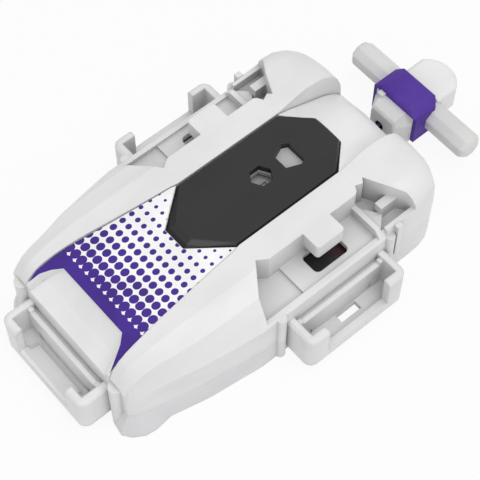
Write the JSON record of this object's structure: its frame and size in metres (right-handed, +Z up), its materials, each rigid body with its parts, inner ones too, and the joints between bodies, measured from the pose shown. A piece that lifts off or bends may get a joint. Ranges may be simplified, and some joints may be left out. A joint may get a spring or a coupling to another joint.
{
  "type": "spinning top launcher",
  "caption": "Hand-held pull-string launcher for spinning tops: flat white housing with grip sockets, black panel, dotted label and a T-bar handle on a cord.",
  "frame": {"origin": "under the middle of the overall length and width, on the plane of the housing's flat underside", "axes": "+Y from the nose to the pull handle, +Z up through the black panel, +X to the right when looking along +Y"},
  "size_m": [0.0756, 0.1324, 0.0275],
  "materials": {
    "shell_plastic": "satin moulded, light grey white",
    "handle_plastic": "satin moulded, white",
    "panel_plastic": "satin black",
    "purple_plastic": "satin moulded, violet",
    "label_print": "printed violet dots on white film",
    "dark_plastic": "moulded, near black",
    "grey_plastic": "moulded, mid grey",
    "gear_nylon": "natural nylon",
    "screw_steel": "zinc plated",
    "spring_steel": "bare spring steel",
    "cord": "braided, dark violet"
  },
  "bodies": {
    "housing": {"lower_shell": "shell_plastic", "upper_shell": "shell_plastic", "spine_cover": "shell_plastic", "top_panel": "panel_plastic", "printed_label": "label_print", "grip_socket_right": "shell_plastic", "grip_socket_left": "shell_plastic", "grip_socket_front": "shell_plastic", "socket_screws": "screw_steel", "gear_chassis": "dark_plastic", "gear_cover": "grey_plastic", "cover_screws": "screw_steel", "case_screws": "screw_steel", "chassis_screws": "screw_steel", "exit_bush": "dark_plastic", "reel_axle": "screw_steel", "recoil_spring": "spring_steel", "idler_pin": "screw_steel", "string_inner": "cord", "string_run": "cord"},
    "launcher": {"launch_head": "dark_plastic", "launch_shaft": "grey_plastic", "launch_pinion": "gear_nylon", "shaft_clip": "spring_steel", "plunger_spring": "spring_steel"},
    "plunger": {"release_plunger": "grey_plastic"},
    "reel": {"string_reel": "grey_plastic", "reel_gear": "gear_nylon", "string_winding": "cord"},
    "idler": {"idler_gear": "gear_nylon"},
    "handle": {"handle_bar": "handle_plastic", "handle_nose": "handle_plastic", "handle_saddle": "purple_plastic", "handle_knob": "handle_plastic", "handle_screws": "screw_steel", "string_knot": "cord"}
  },
  "joints": [
    {"name": "handle_pull", "type": "slide", "parent": "housing", "child": "handle", "axis": [0, 1, 0], "range_m": [0, 0.48], "stiffness_N_per_m": 3, "springref_m": -0.3, "deforming": ["string_run"]},
    {"name": "reel_spin", "type": "hinge", "parent": "housing", "child": "reel", "pos_m": [0, -0.02575, 0.012], "axis": [0, 0, 1], "range_deg": [0, 2755]},
    {"name": "idler_spin", "type": "hinge", "parent": "housing", "child": "idler", "pos_m": [-0.00653, -0.00685, 0.0158], "axis": [0, 0, 1], "range_deg": [-7085, 0]},
    {"name": "launch_spin", "type": "hinge", "parent": "housing", "child": "launcher", "pos_m": [0, 0.00125, 0.006], "axis": [0, 0, 1], "range_deg": [0, 8265]},
    {"name": "plunger_press", "type": "slide", "parent": "launcher", "child": "plunger", "axis": [0, 0, 1], "range_m": [0, 0.0016], "stiffness_N_per_m": 60, "springref_m": -0.003, "deforming": ["plunger_spring"]}
  ],
  "couplings": [
    {"joint": "reel_spin", "follows": "handle_pull", "rad_per_m": 100},
    {"joint": "idler_spin", "follows": "handle_pull", "rad_per_m": -257.14},
    {"joint": "launch_spin", "follows": "handle_pull", "rad_per_m": 300}
  ]
}
